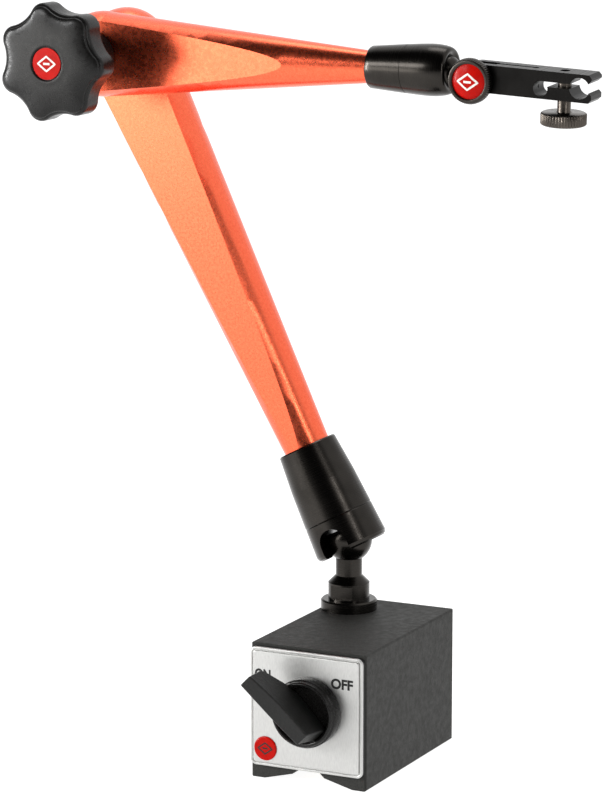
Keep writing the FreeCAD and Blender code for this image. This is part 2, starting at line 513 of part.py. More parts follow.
def star_knob():
    """Seven round lobes on a disc, with a hub that reaches the arm; local Z points out of its face."""
    lobes, outer, waist, lobe = 7, dim("knob_outer"), dim("knob_waist"), dim("knob_lobe_radius")
    step = math.pi / lobes
    tip = outer - lobe
    # the hollow's circle touches the lobe's and passes through the waist: solve for its centre distance
    far = (tip ** 2 - (lobe - waist) ** 2) / (2 * (tip * math.cos(step) + (lobe - waist)))
    hollow = far - waist
    edges = []
    for number in range(lobes):
        middle = 2 * step * number
        centre = V(tip * math.cos(middle), tip * math.sin(middle), 0)
        joins = []
        for side in (-1, 1):
            away = middle + side * step
            other = V(far * math.cos(away), far * math.sin(away), 0)
            joins.append(centre + (other - centre) * (lobe / (lobe + hollow)))
        crest = V(outer * math.cos(middle), outer * math.sin(middle), 0)
        edges.append(Part.Arc(joins[0], crest, joins[1]).toShape())
        valley = middle + step
        floor = V(waist * math.cos(valley), waist * math.sin(valley), 0)
        next_middle = 2 * step * (number + 1)
        next_centre = V(tip * math.cos(next_middle), tip * math.sin(next_middle), 0)
        other = V(far * math.cos(valley), far * math.sin(valley), 0)
        next_join = next_centre + (other - next_centre) * (lobe / (lobe + hollow))
        edges.append(Part.Arc(joins[1], floor, next_join).toShape())
    face = Part.Face(Part.Wire(edges))
    face.translate(V(0, 0, -dim("knob_dome")))
    star = face.extrude(V(0, 0, -dim("knob_rim")))
    star = star.makeFillet(dim("knob_edge"), [e for e in star.Edges if abs(e.BoundBox.ZMin - e.BoundBox.ZMax) < 0.01])
    rim = doc.addObject("Part::Feature", "knob_star")
    rim.Shape = star
    rim.Placement = FreeCAD.Placement(V(0, 0, 0), FreeCAD.Rotation(Z_AXIS, dim("knob_turn")))
    depth = "-knob_face_y - arm_half + upper_y - 0.3"
    hub = taper("knob_hub", "knob_hub_radius - 0.8", "knob_hub_radius", f"{depth} - knob_rim / 2",
                ("0", "0", f"-({depth})"))
    dome = taper("knob_dome_cone", "knob_dome_radius", "knob_badge_radius + 1.2", "knob_dome", ("0", "0", "-knob_dome"))
    recess = rod("knob_recess_disc", "knob_badge_radius", "knob_recess", ("0", "0", "-knob_recess"))
    core = rod("knob_core", "knob_insert_radius", f"{depth} - 6", ("0", "0", f"-({depth})"))
    body = cut("knob_cut", fuse("knob_whole", rim, hub, dome), recess, core)
    knob_frame = frame_at((ELBOW_X, dim("knob_face_y"), ELBOW_Z), toward(FRONT))
    piece("star_knob", body, knob_frame)
    insert = cut("insert_bored", rod("insert_blank", "knob_insert_radius", f"{depth} - 6", ("0", "0", f"-({depth})")),
                 rod("insert_bore", "bolt_radius", f"{depth} - 9", ("0", "0", f"-({depth})")))
    piece("knob_insert", insert, knob_frame)
    badge = [("0", "-knob_recess"), ("knob_badge_radius - 0.1", "-knob_recess"),
             ("knob_badge_radius - 0.1", "-knob_recess + 0.5"), ("0", "-knob_recess + 0.7")]
    piece("knob_badge", turned("knob_badge_disc", badge), knob_frame)
    bolt_end = "post_y + arm_half - 2 - upper_y"
    bolt_start = "-arm_half - 0.3"
    piece("elbow_bolt", rod("bolt_shank", "bolt_radius", f"{bolt_end} - ({bolt_start}) + {depth} - 9",
                            ("0", f"{bolt_start} - ({depth} - 9)", "0"), BACK), UPPER)


# ---------------------------------------------------------------- upper ball joint, stud and clamp
def upper_joint():
    seat = "upper_ball_radius + ball_gap"
    mid = "(upper_tip + upper_ball_at) / 2 + 7.4"
    profile = [(seat, "upper_ball_at"), (seat, "upper_tip + 0.3"), ("upper_sleeve_r0 - 0.6", "upper_tip + 0.3"),
               ("upper_sleeve_r0", "upper_tip + 0.9"), ("upper_sleeve_r0 + 1.2", mid),
               ("upper_sleeve_r0 + 1.0", f"{mid} + 0.3"), ("upper_sleeve_r0 + 1.25", f"{mid} + 0.6"),
               ("upper_sleeve_r1", "upper_sleeve_wide"), ("upper_sleeve_r2", "upper_sleeve_end - 0.8"),
               ("upper_sleeve_r2 - 0.9", "upper_sleeve_end"), ("upper_mouth_radius", "upper_sleeve_end"),
               (f"{seat} - 1.4", "upper_sleeve_end - upper_mouth_depth"), (f"{seat} - 1.4", "upper_ball_at")]
    shell = turned("upper_sleeve_shell", profile)
    piece("upper_sleeve", cut("upper_sleeve_cut", shell, ball("upper_socket", seat, ("0", "0", "upper_ball_at"))), UPPER)
    cup = rod("upper_cup_blank", "upper_ball_radius - 0.2", "6", ("0", "0", "upper_ball_at - 10"))
    piece("upper_ball_seat", cut("upper_cup", cup, ball("upper_cup_hollow", seat, ("0", "0", "upper_ball_at"))), UPPER)
    sphere = joint_ball("upper_ball", "upper_ball_radius", "upper_pin_radius", "upper_neck_radius", "3.2")
    turn_over = FreeCAD.Placement(UPPER_BALL, STUD.Rotation.multiply(FreeCAD.Rotation(Y_AXIS, 180)))
    piece("upper_ball", sphere, turn_over)


def upper_stud():
    """A pin for the ball, a neck and a flat tongue with the pivot's hole; local Z runs to the pivot."""
    shoulder = "sqrt(upper_ball_radius ^ 2 - (upper_neck_radius + 0.2) ^ 2)"
    shank = [("0", "-3"), ("upper_pin_radius", "-3"), ("upper_pin_radius", shoulder),
             ("upper_neck_radius", shoulder), ("upper_neck_radius", "stud_reach - neck_stop"),
             ("0", "stud_reach - neck_stop")]
    turned_part = turned("upper_stud_shank", shank)
    eye = rod("tongue_eye", "tongue_radius", "2 * tongue_half", ("0", "-tongue_half", "stud_reach"), BACK)
    web = box("tongue_web", ("2 * upper_neck_radius", "2 * tongue_half", "neck_stop + 0.5"),
              ("-upper_neck_radius", "-tongue_half", "stud_reach - neck_stop - 0.5"))
    hole = rod("tongue_hole", "pivot_bore_radius", "2 * tongue_half + 2", ("0", "-tongue_half - 1", "stud_reach"), BACK)
    piece("upper_stud", cut("upper_stud_bored", fuse("upper_stud_whole", turned_part, eye, web), hole), STUD)


def clamp_bar():
    """A milled bar: forked for the tongue, slotted thin as a flexure, and split through its two stem holes.

    Its own frame runs along the bar at mid height; the pivot lies below that by the bar's rise.
    """
    tall = "2 * bar_half_height + 2"
    below = "-bar_half_height - 1"
    through = "2 * bar_half + 2"
    side = "-bar_half - 1"
    beam = box("bar_beam", ("bar_end", "2 * bar_half", "2 * bar_half_height"), ("0", "-bar_half", "-bar_half_height"))
    nose = rod("bar_nose", "bar_half_height", "2 * bar_half", ("0", "-bar_half", "0"), BACK)
    corners = [("bar_end - bar_corner", "bar_half_height + 0.1"), ("bar_end + 1", "bar_half_height + 0.1"),
               ("bar_end + 1", "bar_half_height - bar_corner - 1")]
    corner_cuts = []
    for name, sign in (("top", ""), ("bottom", "-")):
        outline = [(across, f"{sign}({along})") for across, along in corners]
        corner_cuts.append(padded("bar_corner_" + name, "XZ_Plane", outline, through))
    fork = box("bar_fork", ("fork_end + bar_half_height + 1", "2 * fork_half", tall),
               ("-bar_half_height - 1", "-fork_half", below))
    flexure = box("bar_flexure", ("flexure_end - fork_end + 1", "2 * flexure_half", tall),
                  ("fork_end - 1", "-flexure_half", below))
    flexure_hole = rod("bar_flexure_hole", "flexure_hole", tall, ("flexure_end", "0", below))
    small = rod("bar_small_hole", "small_hole_radius", through, ("small_hole_x", side, "small_hole_z"), BACK)
    stem = rod("bar_stem_hole", "stem_radius", through, ("stem_hole_x", side, "0"), BACK)
    slit = box("bar_slit", ("bar_end - small_hole_x + 1", through, "2 * slit_half"),
               ("small_hole_x", side, "slit_z - slit_half"))
    flare = [("bar_end - mouth_depth", "slit_z - slit_half"), ("bar_end + 0.1", "slit_z - slit_half - mouth_depth"),
             ("bar_end + 0.1", "slit_z + slit_half + mouth_depth"), ("bar_end - mouth_depth", "slit_z + slit_half")]
    mouth = padded("bar_mouth", "XZ_Plane", flare, through)
    shank = rod("bar_shank_hole", "thumb_bore_radius", "bar_half_height + 1 + slit_z",
                ("clamp_screw_x", "0", below))
    thread = rod("bar_thread_hole", "thumb_thread_bore", tall, ("clamp_screw_x", "0", below))
    pivot = rod("bar_pivot_hole", "pivot_bore_radius", through, ("0", side, "-bar_rise"), BACK)
    milled = cut("bar_milled", fuse("bar_blank", beam, nose), fork, flexure, flexure_hole, small, stem, slit, mouth,
                 shank, thread, pivot, *corner_cuts)
    piece("clamp_bar", milled, BAR)


def pivot_knob():
    knob = [("pivot_radius", "0.2"), ("pivot_knob_radius - 0.4", "0.2"), ("pivot_knob_radius", "0.6"),
            ("pivot_knob_radius", "pivot_knob_length - 0.5"), ("pivot_knob_radius - 0.5", "pivot_knob_length"),
            ("pivot_badge_radius", "pivot_knob_length"),
            ("pivot_badge_radius", "pivot_knob_length - pivot_badge_recess"),
            ("pivot_radius", "pivot_knob_length - pivot_badge_recess")]
    at_bar = CLAMP.multiply(frame_at((0, -dim("bar_half"), 0), toward(FRONT)))
    piece("pivot_knob", turned("pivot_knob_ring", knob), at_bar)
    low = "pivot_knob_length - pivot_badge_recess"
    dome = [("0", low), ("pivot_badge_radius - 0.1", low), ("pivot_badge_radius - 0.1", f"{low} + 0.4"),
            ("pivot_badge_radius * 0.7", f"{low} + 1.0"), ("pivot_badge_radius * 0.35", f"{low} + 1.3"),
            ("0", f"{low} + 1.4")]
    piece("pivot_badge", turned("pivot_badge_dome", dome), at_bar)
    screw = rod("pivot_screw_shank", "pivot_radius", "2 * bar_half + pivot_knob_length - pivot_badge_recess - 0.4",
                ("0", "-bar_half - pivot_knob_length + pivot_badge_recess", "0"), BACK)
    piece("pivot_screw", screw, CLAMP)


def thumbscrew():
    bottom = "-bar_half_height - thumb_gap - thumb_head_length"
    shoulder = "slit_z + slit_half - 0.3"
    top = "bar_half_height - thumb_sunk"
    profile = [("0", bottom), ("thumb_head_radius - 0.5", bottom), ("thumb_head_radius", f"{bottom} + 0.5"),
               ("thumb_head_radius", f"{bottom} + thumb_head_length - 0.5"),
               ("thumb_head_radius - 0.5", f"{bottom} + thumb_head_length"),
               ("thumb_radius", f"{bottom} + thumb_head_length"), ("thumb_radius", shoulder),
               ("thumb_thread_radius", shoulder), ("thumb_thread_radius", top), ("0", top)]
    screw = turned("thumbscrew_turned", profile)
    piece("clamp_thumbscrew", screw, BAR.multiply(frame_at((dim("clamp_screw_x"), 0, 0), FreeCAD.Rotation())))


# ---------------------------------------------------------------- build, check and write
base_half(-1)
base_half(1)
dividers()
bore_ends()
rotor()
plates()
switch()
post()
lower_joint()
lower_arm()
upper_arm()
star_knob()
upper_joint()
upper_stud()
clamp_bar()
pivot_knob()
thumbscrew()
doc.recompute()

failed = [thing.Name for thing in doc.Objects if {"Invalid", "Error"} & set(thing.State)]
assert not failed, f"these features failed: {failed}"
for name, thing in PIECES.items():
    shape = thing.Shape
    assert not shape.isNull() and shape.isValid(), f"{name} has no valid shape"
    assert len(shape.Solids) == 1, f"{name} has {len(shape.Solids)} solids"

for name, thing in PIECES.items():
    thing.Shape.exportStep(f"parts/{name}.step")
    bounds = thing.Shape.BoundBox
    print(f"{name:20s} {thing.Shape.Volume:11.1f} mm3  x {bounds.XMin:8.2f} {bounds.XMax:8.2f}"
          f"  y {bounds.YMin:7.2f} {bounds.YMax:7.2f}  z {bounds.ZMin:7.2f} {bounds.ZMax:7.2f}")
print(f"{len(PIECES)} pieces; elbow at x {ELBOW_X:.3f}, z {ELBOW_Z:.3f}; upper ball {UPPER_BALL}; clamp pivot {PIVOT}")
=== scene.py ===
"""Looks of the articulated magnetic stand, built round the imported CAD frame.

Everything stands in the CAD's own frame, in metres. The outlines of the pieces are given in millimetres.
"""
import json
import math

import bmesh
import bpy
from mathutils import Matrix, Vector


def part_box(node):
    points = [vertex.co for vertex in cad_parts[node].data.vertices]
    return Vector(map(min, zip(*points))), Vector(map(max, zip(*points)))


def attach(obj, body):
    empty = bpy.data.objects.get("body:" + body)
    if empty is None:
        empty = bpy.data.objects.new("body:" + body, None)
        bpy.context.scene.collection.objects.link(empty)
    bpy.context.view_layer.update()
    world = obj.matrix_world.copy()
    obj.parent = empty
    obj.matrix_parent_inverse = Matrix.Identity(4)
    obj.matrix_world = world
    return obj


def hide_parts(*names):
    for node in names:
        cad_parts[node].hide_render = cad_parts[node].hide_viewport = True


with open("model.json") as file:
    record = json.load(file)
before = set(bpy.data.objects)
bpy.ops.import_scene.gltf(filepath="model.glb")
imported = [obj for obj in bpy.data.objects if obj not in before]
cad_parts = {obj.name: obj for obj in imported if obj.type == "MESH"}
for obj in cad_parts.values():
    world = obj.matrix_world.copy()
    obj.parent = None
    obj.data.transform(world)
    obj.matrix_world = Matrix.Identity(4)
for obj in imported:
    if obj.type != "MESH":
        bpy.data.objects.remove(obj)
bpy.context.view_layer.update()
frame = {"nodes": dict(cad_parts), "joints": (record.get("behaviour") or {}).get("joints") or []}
scene = bpy.context.scene
MM = 0.001
JOINTS = {joint["name"]: joint for joint in frame["joints"]}
X, Y, Z = Vector((1, 0, 0)), Vector((0, 1, 0)), Vector((0, 0, 1))

# where faces lie along Y in millimetres, and how far the lever and the star knob are turned in degrees
PLATE_BACK, PLATE_FACE, DIAL_FACE, KNOB_FACE = -43.5, -44.6, -52.2, -42.5
LEVER_ANGLE, KNOB_ANGLE = 44.7, -2.5


# ---------------------------------------------------------------- camera, floor and light
def look_matrix(place, aim, up=(0, 0, 1)):
    """Where an object stands at place with its -Z axis towards aim."""
    back = (Vector(place) - Vector(aim)).normalized()
    right = Vector(up).cross(back).normalized()
    turn = Matrix((right, back.cross(right), back)).transposed().to_4x4()
    return Matrix.Translation(place) @ turn


def make_camera():
    data = bpy.data.cameras.new("camera")
    data.lens = 166.5
    data.clip_end = 60
    camera = bpy.data.objects.new("camera", data)
    scene.collection.objects.link(camera)
    azimuth, elevation = math.radians(26.28), math.radians(10.90)
    back = Vector((math.sin(azimuth) * math.cos(elevation), -math.cos(azimuth) * math.cos(elevation),
                   math.sin(elevation)))
    place = Vector((0.6198, -1.3024, 0.4271))
    camera.matrix_world = look_matrix(place, place - back)
    scene.camera = camera


def area_light(name, place, aim, width, height, power, colour=(1, 1, 1)):
    """A rectangular softbox at place, facing aim; its power is in watts."""
    data = bpy.data.lights.new(name, "AREA")
    data.shape = "RECTANGLE"
    data.size, data.size_y = width, height
    data.energy = power
    data.color = colour
    light = bpy.data.objects.new(name, data)
    scene.collection.objects.link(light)
    light.matrix_world = look_matrix(place, aim)


def make_studio():
    """A white floor that dims far in front, a world pale behind and dark in front, and six area lights."""
    scene.view_settings.view_transform = "Standard"
    area_light("front_softbox", (-1.15, -1.55, 0.95), (-0.02, 0, 0.16), 0.8, 0.5, 12)
    area_light("low_front_softbox", (-0.62, -0.80, 0.27), (-0.08, 0, 0.24), 0.38, 0.27, 1.5,
               (1, 0.99, 0.96))
    area_light("right_softbox", (0.92, -0.58, 0.58), (-0.06, 0, 0.20), 0.40, 0.60, 1.0, (1, 0.97, 0.94))
    area_light("left_strip", (-1.45, -0.95, 0.42), (-0.02, 0, 0.16), 0.12, 1.0, 24)
    area_light("right_strip", (1.35, -0.85, 0.5), (0, 0, 0.16), 0.06, 1.1, 3.0)
    area_light("top_softbox", (-0.1, 0.5, 1.6), (-0.02, 0, 0.12), 0.9, 0.5, 5)
    mesh = bpy.data.meshes.new("floor")
    bm = bmesh.new()
    bmesh.ops.create_grid(bm, x_segments=1, y_segments=1, size=14)
    bm.to_mesh(mesh)
    bm.free()
    floor = bpy.data.objects.new("floor", mesh)
    scene.collection.objects.link(floor)
    # painted glow: the floor paper emits white light of its own, strength 0.65 far in front rising to 0.95
    # behind the stand
    paper = shader("glowing_floor_paper", base=(0.35, 0.35, 0.35), rough=0.95, specular=0.2)
    paper.bsdf.inputs["Emission Color"].default_value = (1, 1, 1, 1)
    floor_glow = paper.ramp(paper.along(Vector((-0.44, 0.90, 0)).normalized()), -1.3, -0.5, 0.65, 0.95)
    paper.links.new(floor_glow, paper.bsdf.inputs["Emission Strength"])
    paper.bump(paper.noise(220, 3), 0.05, 0.0002)
    mesh.materials.append(paper.material)
    world = bpy.data.worlds.new("studio")
    scene.world = world
    world.use_nodes = True
    nodes, links = world.node_tree.nodes, world.node_tree.links
    coordinates = nodes.new("ShaderNodeTexCoord")
    along = nodes.new("ShaderNodeVectorMath")
    along.operation = "DOT_PRODUCT"
    along.inputs[1].default_value = Vector((0.30, 0.93, 0.20)).normalized()
    links.new(coordinates.outputs["Generated"], along.inputs[0])
    ramp = nodes.new("ShaderNodeValToRGB")
    ramp.color_ramp.interpolation = "EASE"
    ramp.color_ramp.elements[0].position = 0.50
    ramp.color_ramp.elements[0].color = (0.025, 0.025, 0.026, 1)
    ramp.color_ramp.elements[1].position = 0.70
    ramp.color_ramp.elements[1].color = (1, 1, 1, 1)
    half = nodes.new("ShaderNodeMath")
    half.operation = "MULTIPLY_ADD"
    half.inputs[1].default_value = 0.5
    half.inputs[2].default_value = 0.5
    links.new(along.outputs["Value"], half.inputs[0])
    links.new(half.outputs[0], ramp.inputs[0])
    links.new(ramp.outputs[0], nodes["Background"].inputs["Color"])
    nodes["Background"].inputs["Strength"].default_value = 1.0


# ---------------------------------------------------------------- materials
class shader:
    """A Principled material on object coordinates, with helpers for the detail that goes into it."""

    def __init__(self, name, base=(0.5, 0.5, 0.5), rough=0.5, metal=0.0, coat=0.0, coat_rough=0.1,
                 specular=0.5):
        self.material = bpy.data.materials.new(name)
        self.material.use_nodes = True
        self.nodes = self.material.node_tree.nodes
        self.links = self.material.node_tree.links
        self.bsdf = self.nodes["Principled BSDF"]
        self.place = self.nodes.new("ShaderNodeTexCoord").outputs["Object"]
        self.bsdf.inputs["Base Color"].default_value = (*base, 1)
        self.bsdf.inputs["Roughness"].default_value = rough
        self.bsdf.inputs["Metallic"].default_value = metal
        self.bsdf.inputs["Coat Weight"].default_value = coat
        self.bsdf.inputs["Coat Roughness"].default_value = coat_rough
        self.bsdf.inputs["Specular IOR Level"].default_value = specular

    def stretched(self, scale):
        """The object coordinates, scaled by a vector."""
        node = self.nodes.new("ShaderNodeVectorMath")
        node.operation = "MULTIPLY"
        node.inputs[1].default_value = scale
        self.links.new(self.place, node.inputs[0])
        return node.outputs["Vector"]

    def along(self, axis):
        """The distance along an axis, in metres."""
        node = self.nodes.new("ShaderNodeVectorMath")
        node.operation = "DOT_PRODUCT"
        node.inputs[1].default_value = axis
        self.links.new(self.place, node.inputs[0])
        return node.outputs["Value"]

    def noise(self, scale, detail=2.0, vector=None):
        node = self.nodes.new("ShaderNodeTexNoise")
        node.inputs["Scale"].default_value = scale
        node.inputs["Detail"].default_value = detail
        self.links.new(vector or self.place, node.inputs["Vector"])
        return node.outputs["Fac"]

    def lines(self, axis, pitch, detail=3.0):
        """Uneven rings or lines across an axis, as a turning tool leaves."""
        node = self.nodes.new("ShaderNodeTexNoise")
        node.noise_dimensions = "1D"
        node.inputs["Scale"].default_value = 1 / pitch
        node.inputs["Detail"].default_value = detail
        self.links.new(self.along(axis), node.inputs["W"])
        return node.outputs["Fac"]

    def ramp(self, value, low, high, first, second):
        """Maps a value between two colours or two numbers."""
        node = self.nodes.new("ShaderNodeMapRange")
        node.clamp = True
        node.inputs["From Min"].default_value = low
        node.inputs["From Max"].default_value = high
        if isinstance(first, tuple):
            mix = self.nodes.new("ShaderNodeMix")
            mix.data_type = "RGBA"
            mix.inputs[6].default_value = (*first, 1)
            mix.inputs[7].default_value = (*second, 1)
            self.links.new(value, node.inputs["Value"])
            self.links.new(node.outputs["Result"], mix.inputs["Factor"])
            return mix.outputs[2]
        node.inputs["To Min"].default_value = first
        node.inputs["To Max"].default_value = second
        self.links.new(value, node.inputs["Value"])
        return node.outputs["Result"]

    def colour(self, value, low, high, first, second):
        self.links.new(self.ramp(value, low, high, first, second), self.bsdf.inputs["Base Color"])

    def roughness(self, value, low, high, first, second):
        self.links.new(self.ramp(value, low, high, first, second), self.bsdf.inputs["Roughness"])

    def bump(self, value, strength, distance):
        """Adds relief; a second call goes on top of the first."""
        node = self.nodes.new("ShaderNodeBump")
        node.inputs["Strength"].default_value = strength
        node.inputs["Distance"].default_value = distance
        self.links.new(value, node.inputs["Height"])
        socket = self.bsdf.inputs["Normal"]
        if socket.is_linked:
            self.links.new(socket.links[0].from_socket, node.inputs["Normal"])
        self.links.new(node.outputs["Normal"], socket)


def textured_paint():
    made = shader("textured_paint", rough=0.55, specular=0.28)
    grain = made.noise(1500, 3)
    made.colour(grain, 0.3, 0.7, (0.012, 0.012, 0.0105), (0.026, 0.026, 0.0235))
    made.roughness(made.noise(420, 2), 0.3, 0.7, 0.52, 0.66)
    made.bump(grain, 0.45, 0.00025)
    made.bump(made.noise(160, 2), 0.12, 0.0005)
    return made.material


def burnished(name, axis, base=(0.034, 0.031, 0.028), rough=0.22, pitch=0.0002):
    """Black-oxide steel turned about an axis."""
    made = shader(name, metal=1.0)
    rings = made.lines(axis, pitch)
    cloud = made.noise(90, 3)
    made.colour(cloud, 0.3, 0.7, tuple(0.82 * c for c in base), tuple(1.2 * c for c in base))
    made.roughness(rings, 0.3, 0.7, rough - 0.05, rough + 0.07)
    made.bump(rings, 0.03, 0.00003)
    made.bump(made.noise(2600, 2), 0.08, 0.00005)
    return made.material


def anodised(name, axis):
    """Orange-red anodised aluminium: fine tool lines across the arm's axis and a grain on top."""
    made = shader(name, metal=1.0, coat=0.06, coat_rough=0.25)
    cloud = made.noise(900, 4)
    made.colour(cloud, 0.3, 0.7, (0.90, 0.135, 0.060), (1.0, 0.170, 0.080))
    made.roughness(made.noise(700, 3), 0.3, 0.7, 0.24, 0.31)
    made.bump(made.lines(axis, 0.00025), 0.04, 0.00003)
    made.bump(made.noise(2200, 3), 0.03, 0.00005)
    return made.material


def plate_steel():
    made = shader("plate_steel", metal=0.85, rough=0.34)
    brushed = made.noise(1, 3, made.stretched((2400, 900, 500)))
    made.colour(brushed, 0.25, 0.75, (0.50, 0.50, 0.49), (0.60, 0.60, 0.585))
    made.roughness(brushed, 0.3, 0.7, 0.34, 0.44)
    made.bump(brushed, 0.05, 0.00004)
    return made.material


def moulded(name, base, rough, grain_scale, grain, specular=0.35):
    made = shader(name, rough=rough, specular=specular)
    speck = made.noise(grain_scale, 3)
    made.colour(speck, 0.3, 0.7, tuple(0.85 * c for c in base), tuple(1.18 * c for c in base))
    made.roughness(made.noise(grain_scale * 0.25, 2), 0.3, 0.7, rough - 0.05, rough + 0.07)
    made.bump(speck, grain, 0.0002)
    return made.material


def badge_red(name, base=(0.42, 0.005, 0.0025)):
    made = shader(name, rough=0.25, coat=0.03, coat_rough=0.08, specular=0.06)
    made.colour(made.noise(300, 2), 0.3, 0.7, tuple(0.88 * c for c in base), tuple(1.1 * c for c in base))
    made.bump(made.noise(500, 2), 0.04, 0.0001)
    return made.material


def inner_metal(name, base, rough):
    made = shader(name, metal=1.0)
    grain = made.noise(900, 3)
    made.colour(grain, 0.3, 0.7, tuple(0.85 * c for c in base), tuple(1.1 * c for c in base))
    made.roughness(grain, 0.3, 0.7, rough - 0.06, rough + 0.08)
    made.bump(grain, 0.08, 0.0001)
    return made.material


ARM = Vector(JOINTS["lower_twist"]["axis"])
STUD = Vector(JOINTS["stud_roll"]["axis"])
BAR_Y = Vector(JOINTS["clamp_pivot"]["axis"])
BAR_Z = Vector(JOINTS["thumbscrew_turn"]["axis"])
BAR_X = BAR_Y.cross(BAR_Z)

make_camera()
make_studio()
PAINT = textured_paint()
STEEL_Z = burnished("burnished_upright", Z)
STEEL_ARM = burnished("burnished_lower_sleeve", ARM)
STEEL_X = burnished("burnished_upper_sleeve", X)
STEEL_STUD = burnished("burnished_stud", STUD)
STEEL_Y = burnished("burnished_elbow", Y)
STEEL_BAR = burnished("burnished_bar", BAR_X, base=(0.012, 0.0115, 0.011), rough=0.34, pitch=0.0009)
STEEL_KNOB = burnished("burnished_knob", BAR_Y, base=(0.044, 0.039, 0.035), rough=0.32)
STEEL_THUMB = burnished("burnished_thumb", BAR_Z, base=(0.085, 0.074, 0.064), rough=0.28)
ORANGE_LOWER = anodised("anodised_lower", ARM)
ORANGE_UPPER = anodised("anodised_upper", X)
PLATE = plate_steel()
KNOB_PLASTIC = moulded("knob_plastic", (0.007, 0.0067, 0.0064), 0.27, 1800, 0.02, 0.25)
DIAL_PLASTIC = moulded("dial_plastic", (0.007, 0.0066, 0.0062), 0.24, 2600, 0.015, 0.22)
LEVER_PLASTIC = moulded("lever_plastic", (0.008, 0.008, 0.0075), 0.38, 1100, 0.8, 0.30)
RED = badge_red("badge_red")
PRINT_WHITE = moulded("print_white", (0.75, 0.74, 0.70), 0.35, 1400, 0.03)
PRINT_BLACK = moulded("print_black", (0.008, 0.008, 0.008), 0.45, 1400, 0.03)
RUBBER = moulded("gasket_rubber", (0.012, 0.012, 0.012), 0.6, 900, 0.2)
BRASS = inner_metal("inner_brass", (0.60, 0.42, 0.16), 0.35)
INNER_STEEL = inner_metal("inner_steel", (0.42, 0.42, 0.42), 0.35)
FERRITE = inner_metal("inner_ferrite", (0.10, 0.10, 0.10), 0.5)

LOOK = (
    (PAINT, "pole_left pole_right divider_upper"),
    (BRASS, "divider_lower front_bush rear_plug rotor_front_shaft rotor_rear_shaft"),
    (INNER_STEEL, "stop_pin rotor_shoe_left rotor_shoe_right lower_ball_seat lower_push_rod elbow_nut"),
    (INNER_STEEL, "elbow_washer upper_push_rod knob_insert upper_ball_seat"),
    (FERRITE, "rotor_magnet"),
    (RUBBER, "plate_gasket"),
    (PLATE, "switch_plate"),
    (RED, "plate_badge knob_badge pivot_badge"),
    (DIAL_PLASTIC, "switch_dial"),
    (LEVER_PLASTIC, "switch_lever"),
    (KNOB_PLASTIC, "star_knob"),
    (STEEL_Z, "post_collar post_stud lower_ball"),
    (STEEL_ARM, "lower_sleeve"),
    (STEEL_X, "upper_sleeve"),
    (STEEL_Y, "elbow_rear_cap elbow_bolt"),
    (STEEL_STUD, "upper_ball upper_stud"),
    (STEEL_BAR, "clamp_bar"),
    (STEEL_KNOB, "pivot_knob pivot_screw"),
    (STEEL_THUMB, "clamp_thumbscrew"),
    (ORANGE_LOWER, "lower_arm"),
    (ORANGE_UPPER, "upper_arm"),
)
material_of = {name: material for material, names in LOOK for name in names.split()}
for name, node in frame["nodes"].items():
    node.data.materials.clear()
    node.data.materials.append(material_of[name])


# ---------------------------------------------------------------- pieces
def finish_piece(name, bm, material, body, place=None, smooth=32.0):
    """Turns a bmesh into a piece that rides on a body; place is its own frame in the part's frame."""
    bmesh.ops.recalc_face_normals(bm, faces=bm.faces)
    mesh = bpy.data.meshes.new(name)
    bm.to_mesh(mesh)
    bm.free()
    if place is not None:
        mesh.transform(place)
    mesh.shade_smooth()
    mesh.set_sharp_from_angle(angle=math.radians(smooth))
    mesh.materials.append(material)
    piece = bpy.data.objects.new(name, mesh)
    scene.collection.objects.link(piece)
    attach(piece, body)
    return piece


def round_edges(thing, width, segments=3, angle=32):
    """A narrow round on the sharp edges, so that they catch the light."""
    modifier = thing.modifiers.new("edge_round", "BEVEL")
    modifier.width = width * MM
    modifier.segments = segments
    modifier.limit_method = "ANGLE"
    modifier.angle_limit = math.radians(angle)
    modifier.harden_normals = True
    modifier.use_clamp_overlap = True


def axes_frame(origin, x, y, z):
    """The place of a frame with its origin and three axes given."""
    return Matrix.Translation(origin) @ Matrix((x, y, z)).transposed().to_4x4()


def loft(rings, close_first=True, close_last=True):
    """A skin through rings of equal count, given as lists of points in millimetres."""
    bm = bmesh.new()
    loops = [[bm.verts.new(Vector(point) * MM) for point in points] for points in rings]
    for one, two in zip(loops, loops[1:]):
        for i in range(len(one)):
            j = (i + 1) % len(one)
            bm.faces.new((one[i], one[j], two[j], two[i]))
    for wanted, loop in ((close_first, loops[0]), (close_last, loops[-1])):
        if wanted:
            bm.faces.new(loop)
    return bm


def ring(radius, height, count, wave=None):
    """A level ring about local Z; wave(angle) is added to the radius."""
    points = []
    for i in range(count):
        angle = 2 * math.pi * i / count
        r = radius + (wave(angle) if wave else 0.0)
        points.append((r * math.cos(angle), r * math.sin(angle), height))
    return points


def knurl(teeth, depth):
    """Straight knurling: crests at the full radius, rounded grooves depth below."""
    return lambda angle: -depth * (0.5 + 0.5 * math.cos(teeth * angle)) ** 0.7


def star_radius(angle, outer=24.1, waist=20.6, lobe=5.6, lobes=7):
    """The outline of seven round lobes joined by tangent hollows."""
    step = math.pi / lobes
    tip = outer - lobe
    far = (tip ** 2 - (lobe - waist) ** 2) / (2 * (tip * math.cos(step) + (lobe - waist)))
    hollow = far - waist
    turn = abs((angle + step) % (2 * step) - step)
    join = math.atan2(lobe * far * math.sin(step),
                      tip * hollow + tip * lobe + lobe * (far * math.cos(step) - tip))
    if turn <= join:
        return tip * math.cos(turn) + math.sqrt(lobe ** 2 - (tip * math.sin(turn)) ** 2)
    away = step - turn
    return far * math.cos(away) - math.sqrt(hollow ** 2 - (far * math.sin(away)) ** 2)


